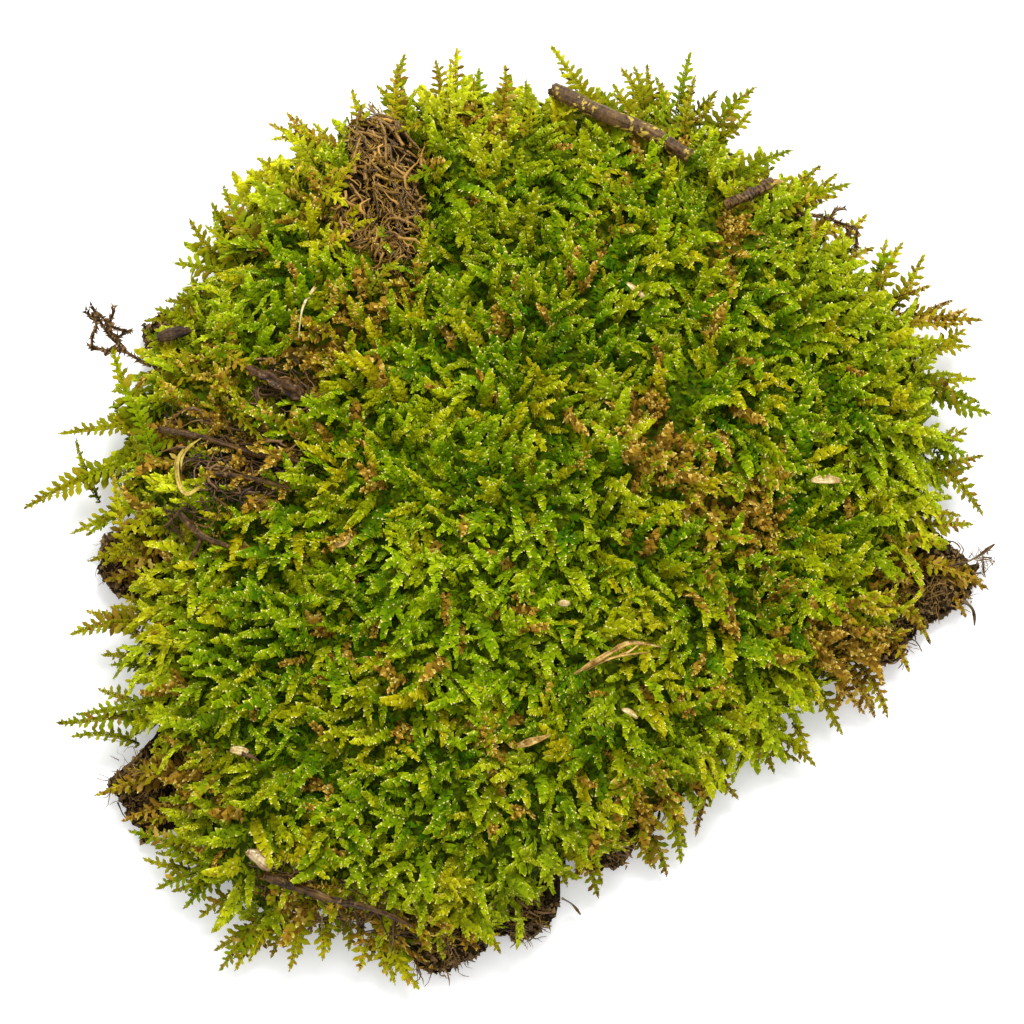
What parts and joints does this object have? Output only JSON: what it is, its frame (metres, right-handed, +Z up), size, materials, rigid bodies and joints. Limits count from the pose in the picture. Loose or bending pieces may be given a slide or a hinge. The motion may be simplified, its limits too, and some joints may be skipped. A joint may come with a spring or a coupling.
{
  "type": "moss clump",
  "caption": "clump of feathery green moss on its soil, domed and ragged at the edge, with a twig, dead stems and bits of litter in it, cut flat beneath",
  "frame": {"origin": "the middle of the clump on the surface it rests on", "axes": "+X to the viewer's right along the longest side, +Y away from the viewer, +Z up, the shortest side"},
  "size_m": [0.1457, 0.1427, 0.0227],
  "materials": {
    "moss": "soft living moss, slightly wet and glistening",
    "soil": "crumbly dark earth and fine roots, matt",
    "dead_stems": "dry brown stems and roots, matt",
    "bark": "grey-brown bark, matt",
    "straw": "dry tan straw, satin",
    "husk": "cream husk, satin"
  },
  "bodies": {
    "root": {"soil": "soil", "moss_mat": "moss", "root_tangle": "dead_stems", "twig_long": "bark", "twig_short": "bark", "dead_sprig": "dead_stems", "dead_shoot": "dead_stems", "old_stem_upper": "dead_stems", "old_stem_lower": "dead_stems", "front_stem": "dead_stems", "broken_stem": "husk", "bent_root": "dead_stems", "bark_chip": "dead_stems", "wood_fragment": "dead_stems", "curled_straw": "straw", "pale_straw": "husk", "dry_straw": "straw", "stalk_right": "dead_stems", "root_end_right": "dead_stems", "stalk_front": "dead_stems", "husk_right": "husk", "husk_left": "husk", "seed": "husk", "leaf_scrap": "straw", "tan_flake": "straw", "pale_flake_upper": "husk", "pale_flake_lower": "husk"}
  },
  "joints": []
}
